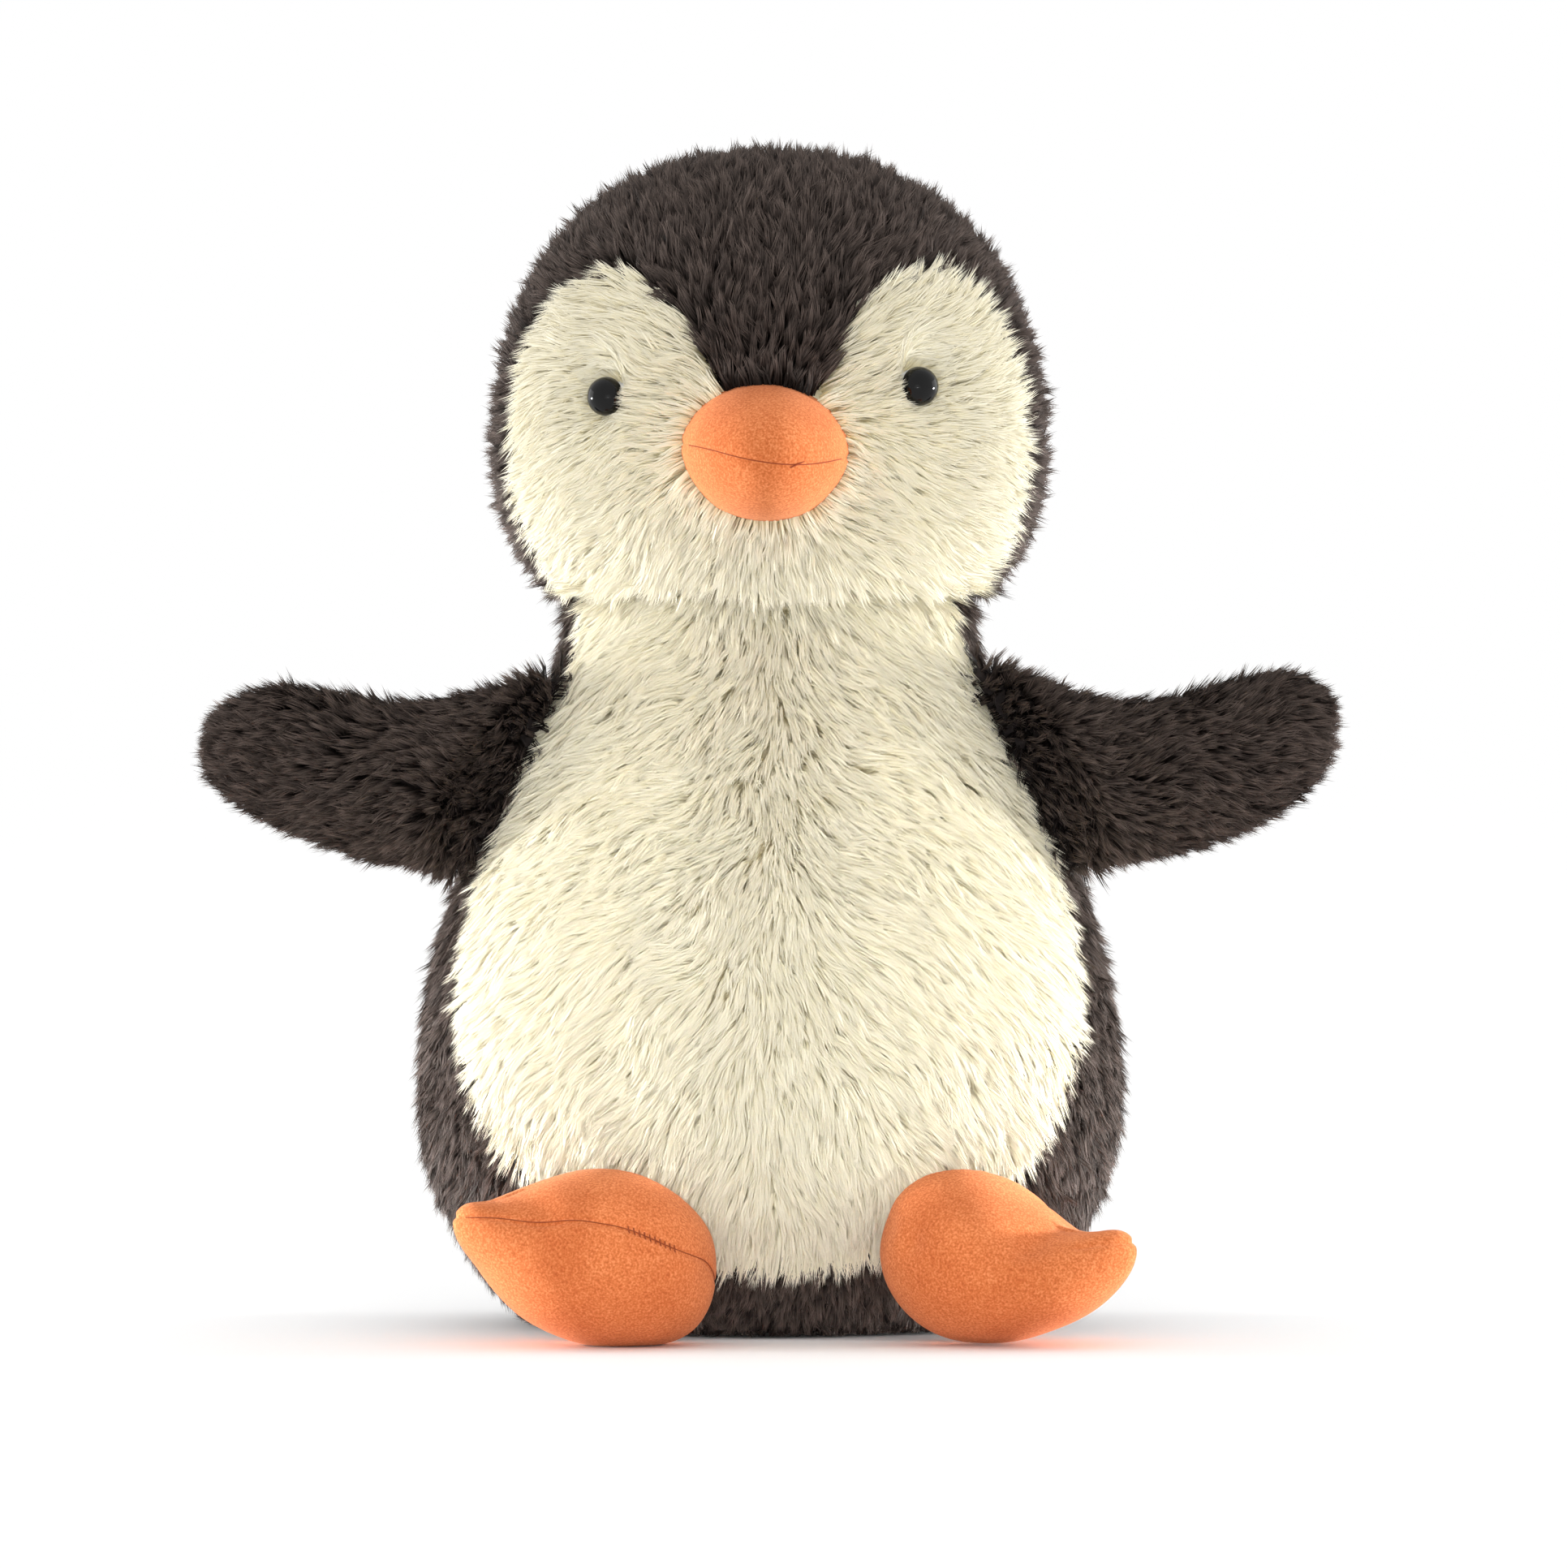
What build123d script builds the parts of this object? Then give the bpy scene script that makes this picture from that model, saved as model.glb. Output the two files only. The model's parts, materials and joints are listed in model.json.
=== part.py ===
"""Plush penguin, sitting, about 23 cm tall: sewn fur panels over stuffing, with stuffed flippers and feet.

Millimetres. +Z is up, the penguin faces -Y, and "left" means the -X side. The origin is on the table, at the
middle of the toy's outline box. Every fur panel is drawn to the tips of its pile, so its thickness is cloth
backing plus pile.
"""

from build123d import *
import os

# --- Head -------------------------------------------------------------------------------------------------
HEAD_TOP_Z = 226.0
HEAD_MID_Z = 167.5  # height of the widest level
HEAD_CHIN_Z = 125.0  # where the head's underside would close, inside the neck
HEAD_HALF_WIDTH = 53.5
HEAD_FRONT_RATIO = 0.86  # depth over width, in front of the side line
HEAD_BACK_RATIO = 0.88
CROWN_FULLNESS = 0.63  # 0.55 draws an ellipse, more draws a squarer dome
JAW_FULLNESS = 0.58

# --- Torso ------------------------------------------------------------------------------------------------
TORSO_FRONT_RATIO = 0.86
TORSO_BACK_RATIO = 0.76
TORSO_PROFILE = [(47.0, 0.0), (58.5, 14.0), (66.5, 32.0), (67.8, 49.0), (61.5, 82.0),
                 (50.0, 109.0), (41.0, 130.0), (39.0, 150.0)]  # half-width and height
TORSO_TOP_Z = 175.0  # the profile runs on up inside the head, where the neck ball cuts it
BASE_SEAM_Z = 9.0  # the base panel curls up to this height

# --- Neck -------------------------------------------------------------------------------------------------
NECK_PIVOT_Z = 105.3
NECK_BALL_RADIUS = 52.0
NECK_PLUG_RADIUS = 20.0
NECK_PLUG_BOTTOM_Z = 112.0
SHOULDER_Z = 120.3  # above this level the torso is rounded to the neck ball

# --- Cloth ------------------------------------------------------------------------------------------------
FUR_THICKNESS = 5.5
SUEDE_THICKNESS = 1.2
RUNNING_GAP = 0.35  # between pieces that move past each other
THINNEST_FILL = 1.0  # stuffing thinner than twice this is left out

# --- Sewn outlines, half of each, as (x, z) seen from the front --------------------------------------------
BELLY_OUTLINE = [(0.0, 12.5), (30.0, 18.0), (52.0, 35.0), (60.0, 56.0), (58.5, 80.0),
                 (49.5, 104.0), (40.0, 126.0), (38.4, 165.0)]
FACE_OUTLINE = [(0.0, 174.0), (9.5, 181.0), (14.0, 191.0), (21.0, 200.0), (31.0, 203.5),
                (41.0, 198.5), (47.6, 187.0), (50.4, 170.0), (48.4, 155.0), (43.4, 145.0), (37.6, 137.5),
                (33.0, 120.0)]

# --- Beak, eyes -------------------------------------------------------------------------------------------
BEAK_CENTRE = (-0.8, -40.0, 168.8)
BEAK_HALF_SIZE = (16.2, 25.0, 13.2)
BEAK_ROLL = 4.0  # degrees
BEAK_ROOT_DEPTH = 4.0  # the beak is sewn to the backing, this far below the pile tips
EYE_PLACES = {"left": (-31.8, 179.4), "right": (29.2, 181.4)}  # (x, z)
EYE_DOME_RADIUS = 3.75
EYE_DOME_HEIGHT = 3.4
EYE_STAND_PROUD = 2.0  # how far the dome rises above the pile tips
EYE_SHANK_RADIUS = 1.6
EYE_SHANK_LENGTH = 11.0
WASHER_RADIUS = 6.0
WASHER_THICKNESS = 1.5

# --- Pellet pouch -----------------------------------------------------------------------------------------
POUCH_BASE_RADIUS = 34.0
POUCH_MID_RADIUS = 40.0
POUCH_HEIGHT = 26.0
POUCH_CLOTH = 1.0
POUCH_DEPTH_RATIO = 0.8

# --- Flippers: stations from root to tip as (distance out, mid height, half height, half thickness) --------
FLIPPER_Y = -13.0
FLIPPER_STATIONS = {
    "left": [
        (36.0, 106.0, 20.5, 8.0),
        (55.0, 104.5, 18.8, 9.8),
        (72.0, 104.8, 16.8, 10.2),
        (87.0, 108.0, 15.8, 9.6),
        (98.0, 110.5, 13.0, 8.0),
        (105.0, 111.0, 8.6, 5.4),
        (108.0, 111.0, 3.4, 1.8),
    ],
    "right": [
        (36.0, 107.0, 20.5, 8.0),
        (55.0, 105.8, 18.4, 9.8),
        (70.0, 105.2, 16.4, 10.2),
        (86.0, 108.6, 16.2, 9.6),
        (98.0, 112.6, 14.2, 8.0),
        (105.0, 114.4, 9.6, 5.4),
        (108.0, 115.0, 3.6, 1.8),
    ],
}
FLIPPER_ROOT_TOP = (40.8, 127.0)  # the root seam, as (distance out, height)
FLIPPER_ROOT_BOTTOM = (60.2, 86.0)
FLIPPER_SWING = (-40.0, 65.0)  # degrees, backward and forward

# --- Feet -------------------------------------------------------------------------------------------------
FOOT_LENGTH = 53.4
FOOT_WIDEST_AT = 19.0  # from the round inner end
FOOT_HALF_HEIGHT = 16.6
FOOT_DEPTH_RATIO = 1.2
FOOT_TIP_HALF_HEIGHT = 4.0
FOOT_ROUNDNESS = 0.58  # of the inner end: 0.55 draws an ellipse
FOOT_TAPER = 0.46  # how far along the pointed end its full height is held
# bulk centre, and the tip's heading from straight sideways towards the front, and its rise, in degrees
FOOT_SETTINGS = {
    "left": {"centre": (-28.5, -58.0, 16.9), "heading": 20.0, "rise": 11.0},
    "right": {"centre": (39.9, -55.0, 16.9), "heading": 28.0, "rise": 3.0},
}
FOOT_ROOT_Z = 14.0
FOOT_FLEX = (-35.0, 20.0)  # degrees, toes down and toes up

# --- Place in the row frame -------------------------------------------------------------------------------
SIT_Y = 13.46  # moves the torso's own axis back, so that the outline box is centred

SIDE_SIGN = {"left": -1, "right": 1}
SWING_STEPS = 4  # a limb is cleared of the torso at both limits and three places between
CUT_REACH = 300.0  # larger than the toy, for cutting blocks
SLICE = 0.01  # a block this thin gives a cross-section


def oval(profile, front_ratio, back_ratio):
    """Spin a half profile about Z, with its front and back halves squeezed to their own depths."""
    front = scale(revolve(profile, Axis.Z, -180), by=(1, front_ratio, 1))
    back = scale(revolve(profile, Axis.Z, 180), by=(1, back_ratio, 1))
    return front + back


def head_shape(inset):
    """The whole head, closed under the chin, drawn a given distance inside its pile tips."""
    half_width = HEAD_HALF_WIDTH - inset
    top = HEAD_TOP_Z - inset
    chin = HEAD_CHIN_Z + inset
    rise = top - HEAD_MID_Z
    drop = HEAD_MID_Z - chin
    crown = Bezier((0, top), (CROWN_FULLNESS * half_width, top),
                   (half_width, HEAD_MID_Z + CROWN_FULLNESS * rise), (half_width, HEAD_MID_Z))
    jaw = Bezier((half_width, HEAD_MID_Z), (half_width, HEAD_MID_Z - JAW_FULLNESS * drop),
                 (JAW_FULLNESS * half_width, chin), (0, chin))
    profile = make_face([crown, jaw, Line((0, chin), (0, top))])
    return oval(Plane.XZ * profile, HEAD_FRONT_RATIO, HEAD_BACK_RATIO)


def torso_shape(inset):
    """The whole torso, flat underneath, drawn a given distance inside its pile tips."""
    bottom = max(inset, 0)
    points = [(radius - inset, max(height, bottom)) for radius, height in TORSO_PROFILE]
    side = Spline(points)
    top_radius = points[-1][0]
    corners = [points[-1], (top_radius, TORSO_TOP_Z), (0, TORSO_TOP_Z), (0, bottom), points[0]]
    outline = make_face([side, Polyline(corners)])
    return oval(Plane.XZ * outline, TORSO_FRONT_RATIO, TORSO_BACK_RATIO)


def front_cutter(half_outline):
    """A prism that takes everything in front of the side line and inside a symmetric outline."""
    right = Spline(half_outline)
    left = mirror(right, Plane.YZ)
    far = half_outline[-1]
    lid = Line((far[0], far[1]), (-far[0], far[1]))
    face = Plane.XZ * make_face([right, left, lid])
    return extrude(face, CUT_REACH)


def halves(shape):
    """The left and right parts of a shape, cut at the middle plane."""
    return split(shape, Plane.YZ, keep=Keep.BOTTOM), split(shape, Plane.YZ, keep=Keep.TOP)


def ellipsoid(half_sizes, shrink=0.0):
    """A ball squeezed to three half sizes, each made smaller by the same amount."""
    return scale(Sphere(1), by=tuple(half - shrink for half in half_sizes))


def block_above(bottom, height):
    """A block far wider than the toy, between two levels."""
    return Pos(0, 0, bottom) * Box(CUT_REACH, CUT_REACH, height, align=(Align.CENTER, Align.CENTER, Align.MIN))


def neck_ball(radius):
    """The ball about the neck pivot on which the head slides as it turns and nods."""
    return Pos(0, 0, NECK_PIVOT_Z) * Sphere(radius)


def beak_pieces():
    """The stuffed beak: an upper and a lower suede panel over stuffing, plus the solid that it fills."""
    place = Pos(BEAK_CENTRE) * Rot(0, BEAK_ROLL, 0)
    whole = place * ellipsoid(BEAK_HALF_SIZE)
    stuffing = place * ellipsoid(BEAK_HALF_SIZE, SUEDE_THICKNESS)
    backing = head_shape(BEAK_ROOT_DEPTH)
    suede = whole - stuffing - backing
    seam_plane = Plane(place.position, z_dir=(place * Location((0, 0, 1))).position - place.position)
    pieces = {
        "beak_upper": split(suede, seam_plane, keep=Keep.TOP),
        "beak_lower": split(suede, seam_plane, keep=Keep.BOTTOM),
        "beak_fill": stuffing - backing,
    }
    return pieces, whole


def eye_pieces(side, head):
    """A safety eye: a domed button whose shank passes through the face to a washer inside."""
    x, z = EYE_PLACES[side]
    surface_point, normal = head.find_intersection_points(Axis((x, 0, z), (0, -1, 0)))[-1]
    seat = Plane(surface_point, z_dir=normal)
    dome_base = EYE_STAND_PROUD - EYE_DOME_HEIGHT
    dome = split(ellipsoid((EYE_DOME_RADIUS, EYE_DOME_RADIUS, EYE_DOME_HEIGHT)), Plane.XY, keep=Keep.TOP)
    shank = Pos(0, 0, -EYE_SHANK_LENGTH / 2) * Cylinder(EYE_SHANK_RADIUS, EYE_SHANK_LENGTH)
    eye = Pos(0, 0, dome_base) * (dome + shank)
    washer = Cylinder(WASHER_RADIUS, WASHER_THICKNESS) - Cylinder(EYE_SHANK_RADIUS, WASHER_THICKNESS)
    washer = Pos(0, 0, -FUR_THICKNESS - WASHER_THICKNESS / 2) * washer
    return {f"eye_{side}": seat * eye, f"eye_washer_{side}": seat * washer}


def head_pieces():
    """Hood, face, beak, eyes and stuffing. The underside is hollowed to slide on the neck ball."""
    outer = head_shape(0)
    socket = neck_ball(NECK_BALL_RADIUS + RUNNING_GAP)
    pieces, beak_solid = beak_pieces()
    for side in EYE_PLACES:
        pieces.update(eye_pieces(side, outer))
    fill = head_shape(FUR_THICKNESS)
    fur = outer - fill - socket - beak_solid
    fill = fill - socket - beak_solid
    for side in EYE_PLACES:
        fur = fur - pieces[f"eye_{side}"]
        fill = fill - pieces[f"eye_{side}"] - pieces[f"eye_washer_{side}"]
    face_cutter = front_cutter(FACE_OUTLINE)
    pieces["face_left"], pieces["face_right"] = halves(fur & face_cutter)
    pieces["hood_left"], pieces["hood_right"] = halves(fur - face_cutter)
    pieces["head_fill"] = fill
    return pieces


def pouch_shape(inset):
    """The pellet pouch: a flat-bottomed, domed bag that sits on the base panel."""
    bottom = FUR_THICKNESS + inset
    top = FUR_THICKNESS + POUCH_HEIGHT - inset
    belt_z = FUR_THICKNESS + POUCH_HEIGHT / 2
    base = POUCH_BASE_RADIUS - inset
    belt = POUCH_MID_RADIUS - inset
    side = Spline((base, bottom), (belt, belt_z), (0, top), tangents=[(1, 1), (-1, 0)])
    profile = make_face([side, Line((0, top), (0, bottom)), Line((0, bottom), (base, bottom))])
    return oval(Plane.XZ * profile, POUCH_DEPTH_RATIO, POUCH_DEPTH_RATIO)


def neck_plug(gap):
    """The round plug of stuffing in the neck, or with a gap, the bore that it turns in."""
    plug = Cylinder(NECK_PLUG_RADIUS + gap, CUT_REACH, align=(Align.CENTER, Align.CENTER, Align.MIN))
    return Pos(0, 0, NECK_PLUG_BOTTOM_Z - gap) * plug


def torso_and_neck_pieces():
    """Belly, back and base panels, the stuffing with its pellet pouch, and the neck's own wad of stuffing."""
    ball = neck_ball(NECK_BALL_RADIUS)
    outside_ball = block_above(SHOULDER_Z, CUT_REACH) - ball
    outer = torso_shape(0) - outside_ball
    inner = torso_shape(FUR_THICKNESS) - outside_ball
    fur = outer - inner
    base_slab = block_above(0, BASE_SEAM_Z)
    belly_cutter = front_cutter(BELLY_OUTLINE)
    coat = fur - base_slab
    pouch = pouch_shape(0)
    pellets = pouch_shape(POUCH_CLOTH)
    pieces = {
        "base_panel": fur & base_slab,
        "torso_fill": inner - pouch - neck_plug(RUNNING_GAP),
        "pellet_pouch": pouch - pellets,
        "pellets": pellets,
        "neck_fill": neck_plug(0) & ball,
    }
    pieces["belly_left"], pieces["belly_right"] = halves(coat & belly_cutter)
    pieces["back_left"], pieces["back_right"] = halves(coat - belly_cutter)
    return pieces


def swing_clear(limb, obstacle, pin, angles):
    """Cut from a limb all that would meet the obstacle while the limb swings about its pin."""
    lowest, highest = angles
    for step in range(SWING_STEPS + 1):
        angle = lowest + (highest - lowest) * step / SWING_STEPS
        limb = limb - obstacle.rotate(pin, -angle)
    return limb


def flipper_shape(side, inset):
    """A flat, round-edged wing, lofted through upright ellipses from root to tip."""
    sections = []
    for out, mid_z, half_height, half_thickness in FLIPPER_STATIONS[side]:
        if half_thickness - inset > THINNEST_FILL:
            plane = Plane((SIDE_SIGN[side] * out, FLIPPER_Y, mid_z), x_dir=(0, 1, 0), z_dir=(1, 0, 0))
            sections.append(plane * Ellipse(half_thickness - inset, half_height - inset))
    return loft(sections)


def flipper_pin(side):
    """The root seam as an axis: a positive turn swings the flipper forward."""
    top = Vector(SIDE_SIGN[side] * FLIPPER_ROOT_TOP[0], FLIPPER_Y, FLIPPER_ROOT_TOP[1])
    bottom = Vector(SIDE_SIGN[side] * FLIPPER_ROOT_BOTTOM[0], FLIPPER_Y, FLIPPER_ROOT_BOTTOM[1])
    start, end = (bottom, top) if side == "left" else (top, bottom)
    return Axis(start, end - start)


def flipper_pieces(side, torso):
    """Front and back fur panels, joined round the edge, over a thin wad of stuffing."""
    pin = flipper_pin(side)
    whole = swing_clear(flipper_shape(side, 0), torso, pin, FLIPPER_SWING)
    fill = flipper_shape(side, FUR_THICKNESS) & whole
    fur = whole - fill
    edge_plane = Plane((0, FLIPPER_Y, 0), z_dir=(0, 1, 0))
    return {
        f"flipper_{side}_front": split(fur, edge_plane, keep=Keep.BOTTOM),
        f"flipper_{side}_back": split(fur, edge_plane, keep=Keep.TOP),
        f"flipper_{side}_fill": fill,
    }


def foot_plane(side):
    """The foot's own plane: origin in the bulk, x towards the pointed tip, the sewn edge in the plane."""
    settings = FOOT_SETTINGS[side]
    sign = SIDE_SIGN[side]
    tip_direction = Vector(sign, 0, 0).rotate(Axis.Y, -sign * settings["rise"])
    tip_direction = tip_direction.rotate(Axis.Z, -sign * settings["heading"])
    upward = Vector(0, 0, 1) - tip_direction * tip_direction.Z
    return Plane(settings["centre"], x_dir=tip_direction, z_dir=upward)


def foot_shape(side, inset):
    """A teardrop, round at the inner end and pointed at the outer, deeper than it is high."""
    half = FOOT_HALF_HEIGHT - inset
    inner_end = -FOOT_WIDEST_AT + inset
    tip = FOOT_LENGTH - FOOT_WIDEST_AT - inset
    round_end = Bezier((inner_end, 0), (inner_end, FOOT_ROUNDNESS * half), (FOOT_ROUNDNESS * inner_end, half),
                       (0, half))
    pointed_end = Bezier((0, half), (FOOT_TAPER * tip, half), (tip, FOOT_TIP_HALF_HEIGHT), (tip, 0))
    profile = make_face([round_end, pointed_end, Line((inner_end, 0), (tip, 0))])
    return foot_plane(side).location * scale(revolve(profile, Axis.X), by=(1, FOOT_DEPTH_RATIO, 1))


def foot_pin(side):
    """The foot's root seam on the torso, as a level axis: a positive turn lifts the toes."""
    x, y, _ = FOOT_SETTINGS[side]["centre"]
    section = torso_shape(-RUNNING_GAP) & block_above(FOOT_ROOT_Z, SLICE)
    outward = Vector(x, y, 0)
    middle_of_slice = (0, 0, FOOT_ROOT_Z + SLICE / 2)
    root, normal = section.find_intersection_points(Axis(middle_of_slice, outward))[-1]
    return Axis(root, Vector(normal.Y, -normal.X, 0))


def foot_pieces(side, torso):
    """Upper and sole suede panels over stuffing, sewn to the torso at the back."""
    pin = foot_pin(side)
    whole = swing_clear(foot_shape(side, 0), torso, pin, FOOT_FLEX)
    fill = foot_shape(side, SUEDE_THICKNESS) & whole
    suede = whole - fill
    return {
        f"foot_{side}_upper": split(suede, foot_plane(side), keep=Keep.TOP),
        f"foot_{side}_sole": split(suede, foot_plane(side), keep=Keep.BOTTOM),
        f"foot_{side}_fill": fill,
    }


def main():
    """Build every piece, move it into the row frame and write one STEP file for each."""
    torso_with_gap = torso_shape(-RUNNING_GAP)
    pieces = {**head_pieces(), **torso_and_neck_pieces()}
    for side in SIDE_SIGN:
        pieces.update(flipper_pieces(side, torso_with_gap))
        pieces.update(foot_pieces(side, torso_with_gap))
    os.makedirs("parts", exist_ok=True)
    for name, piece in pieces.items():
        export_step(Pos(0, SIT_Y, 0) * piece, f"parts/{name}.step")


if __name__ == "__main__":
    main()
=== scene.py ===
"""Plush penguin: fur, suede, eyes, lights and camera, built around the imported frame.

Lengths are in metres, in the frame's own axes: +Z up, the penguin faces -Y, "left" is the -X side. Places
come from the frame's nodes, joints and boxes. The centres of the beak and feet are measured from the torso's
axis.
"""

import bpy
import json
import math
import numpy as np
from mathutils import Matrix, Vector
from mathutils.bvhtree import BVHTree


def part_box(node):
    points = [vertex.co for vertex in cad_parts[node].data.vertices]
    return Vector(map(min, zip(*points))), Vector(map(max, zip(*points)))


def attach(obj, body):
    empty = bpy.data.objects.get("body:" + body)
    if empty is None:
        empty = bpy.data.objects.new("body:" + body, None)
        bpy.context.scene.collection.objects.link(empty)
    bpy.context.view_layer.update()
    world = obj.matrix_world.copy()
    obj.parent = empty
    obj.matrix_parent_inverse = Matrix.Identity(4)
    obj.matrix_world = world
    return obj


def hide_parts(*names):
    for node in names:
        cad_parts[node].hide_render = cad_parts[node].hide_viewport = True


MM = 0.001
SIDES = ("left", "right")

# --- Fur ---------------------------------------------------------------------------------------------------
PILE_LENGTH = 8.4 * MM
SKIN_DEPTH = 4.9 * MM  # how far the cloth backing lies below the pile tips
FLIPPER_SKIN_DEPTH = 4.6 * MM
FLIPPER_ROOT_DEPTH = -1.5 * MM  # a flipper's root runs on into the torso's pile
BEAK_SIDE_DEPTH = 1.6 * MM  # beside the beak the backing is drawn up against it
BEAK_GAP = 0.1 * MM  # the pile starts this far from the beak
SEAT_SKIN_DEPTH = 1.6 * MM  # under the seat the pile is crushed flat
CLUMP_SPACING = 1.25 * MM
STRANDS_PER_CLUMP = 10
CLUMP_RADIUS = 0.88 * MM
STRAND_HALF_WIDTH = 0.13 * MM
STRAND_ROLL = math.radians(32)  # how far strands are turned about their own length
STRAND_STRAY = 0.16 * MM  # how far a strand's middle strays from its clump, and its tip that many times more
STRAY_AT_TIP = 2.2
CLUMP_LENGTHS = (0.84, 1.12)  # shortest and longest clump against the pile's length
STRAND_TIPS = (0.8, 1.06)  # shortest and longest outer half of a strand against its clump's
CLUMP_TONE_SHARE = 0.6  # how much of a strand's tone it shares with its clump
WANDER = 0.16  # radians, how far the pile's direction strays in slow waves
WANDER_WAVES = [[0.21, 0.13, 0.17], [-0.17, 0.23, 0.29], [0.31, -0.27, 0.11]]  # radians for each millimetre
WANDER_PHASES = [0.4, 2.1, 4.4]
OVERHANG = 3.0 * MM  # how far a clump's tips reach beyond its root, along the skin
ROOT_LIFT = math.radians(56)  # a strand's angle to the skin at its root, and at its tip
TIP_LIFT = math.radians(16)
SCATTER = {"turn": math.radians(12), "root": math.radians(8), "tip": math.radians(10)}
UNRULY = {"dark_fur": 1.3, "cream_fur": 0.8}  # how much of that scatter each cloth shows
GATHER = {"dark_fur": 0.30, "cream_fur": 0.62}  # how wide a clump still is at its tips, against its root
PARTING_WIDTH = 15 * MM  # how far from the belly's middle seam the pile has turned to its side
PARTING_STRAY = 3 * MM  # how far that width strays with the pile's direction
BELLY_DROOP = [(0.0, 84), (0.15, 72), (0.45, 38), (0.7, 32), (1.0, 50)]  # share of its height, degrees
CHEEK_DROOP = 0.3  # the droop of the face's pile in the middle, and its change towards the right
CHEEK_DROOP_SLOPE = 0.004 / MM
HOOD_SPREAD = 0.6  # how much the hood's pile fans out sideways
HOOD_TURN = 1.6  # how strongly it turns down at the back, and how far behind the axis it has turned
HOOD_TURN_DEPTH = 30 * MM
BACK_SPREAD = 0.3  # how much the back's pile leans outward, and how far from the middle it does in full
BACK_SPREAD_WIDTH = 60 * MM
BASE_SPREAD = 0.25
FLIPPER_FAN = 30 * MM  # the flippers' pile fans out from a point this far inside their pivots
FLIPPER_PILE = 0.85  # the flippers' pile against the rest
EDGE_PILE = 0.6  # the pile at the edge of the seat against the rest
EDGE_HEIGHT = 7 * MM  # how far up that edge reaches
SEAT_HEIGHT = 12 * MM  # pile that faces down below this height belongs to the seat
SEAT_LIE = -0.85  # how flat the seat's pile lies: -1 would be along the skin
SEAT_FACING = 0.5  # skin belongs to the seat from this share of facing down, and fully this much later
SEAT_FACING_RANGE = 0.4
SEAT_FLAT = 0.9  # where a point belongs to the seat this much, its pile is thinned
SEAT_THINNING = 3  # to one clump in this many
PILE_FLOOR_GAP = 0.4 * MM
TRIANGLES_PER_STRAND = 3
MAX_PIECE_TRIANGLES = 190_000
POINTS_PER_CELL = 5  # points tried for each cell of the clumps' grid
HEAD_SEED = 11
TORSO_SEED = 12
FLIPPER_SEEDS = {"left": 20, "right": 21}

# --- Fur beside the beak, the eyes and the head's lower rim ---
BEAK_NEAR = 3 * MM  # how far the beak's and an eye's effect on the pile reaches
EYE_NEAR = 3.5 * MM
BEAK_STAND = 0.15  # how far the pile beside the beak stands up, from 0 to 1
BEAK_SHORTER = 0.3  # how much shorter the pile is there
EYE_SHORTER = 0.35
RIM_LONGER = 0.06
RIM_NEAR = 7 * MM
EYE_DOME_HEIGHT = 3.4 * MM
EYE_CLEARANCE = 4.25 * MM  # the pile is parted this far from an eye's axis
EYE_PARTING_SLOPE = 0.9  # and further by this much for each metre above the eye's seat
EYE_REACH = 12 * MM  # pile further than this above an eye isn't parted
EYE_REACH_BEHIND = 6 * MM
EYE_CROSSING = 0.97  # a strand that comes nearer than this share of the clearance is cut short
EYE_STUB = 0.05  # what is left of its outer half then

# --- The surfaces that the fur grows on ---
SKIN_VOXEL = 1.6 * MM
SKIN_SMOOTHING = 6
FLIPPER_VOXEL = 1.2 * MM
FLIPPER_SMOOTHING = 4
NECK_CLEARANCE = 1.2 * MM  # no pile this close to the neck ball
CLOTH_GAP = 1.5 * MM  # pile grows only this near to a fur panel
EYE_GAP = 0.3 * MM  # and not this near to an eye
TORSO_TOP = 9 * MM  # how far the torso's pile reaches up into the head
ROOT_NEAR = 1 * MM  # a flipper's skin this near to the torso belongs to its root
ROOT_REACH = 7 * MM  # and this much further off it no longer does
ROOT_FACING = 1.5  # how sharply that depends on the skin's facing inward, and where it starts
ROOT_FACING_START = 0.3

# --- Suede, seams and threads ---
SUEDE_VOXEL = 0.5 * MM
SUEDE_SMOOTHING = 8
GROOVE_DEPTH = 0.5 * MM
GROOVE_WIDTH = 0.55 * MM
FLOOR_GAP = 0.2 * MM
SEAM_LIFT = -0.02 * MM
SEAM_STEP = 0.5  # millimetres
SEAM_RADIUS = 0.12 * MM
STITCH_RADIUS = 0.15 * MM
STITCH_LENGTH = 1.3 * MM
STITCH_PITCH = 1.05  # millimetres
STITCH_SHAPE = ((-0.5, -0.1), (0.0, 0.12), (0.5, -0.1))  # share of its length, lift in millimetres
THREAD_CAST = 60 * MM  # threads are dropped onto a piece from this far in front of it
CORNER_ROUNDING = 2.5  # millimetres, curves are averaged over this far to both sides
ROUNDING_STEPS = 7

# --- Beak, lengths in millimetres: its middle from the torso's axis, and its seam as (along, up) ---
BEAK_CENTRE = (-0.8, -40.0, 168.8)
BEAK_ROLL = math.radians(4)
BEAK_SEAM = [(-17, 0.7), (-11, 0.4), (-4, -0.9), (3, -1.5), (9, -1.2), (17, 0.5)]
BEAK_THREAD = (-14.5, 15)  # the stretch of the seam where its thread shows
BEAK_STITCHES = (6.2, 7)
BEAK_STITCH_LEAN = 2.0  # sideways against upwards
BEAK_CORNER = 8 * MM  # the beak's corners start this far out and are this long
CORNER_PINCH = 0.16  # how much lower the beak is at its corners
CORNER_RISE = 0.5 * MM
BEAK_GROOVE = 0.8  # the depth of its groove against the feet's

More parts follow.
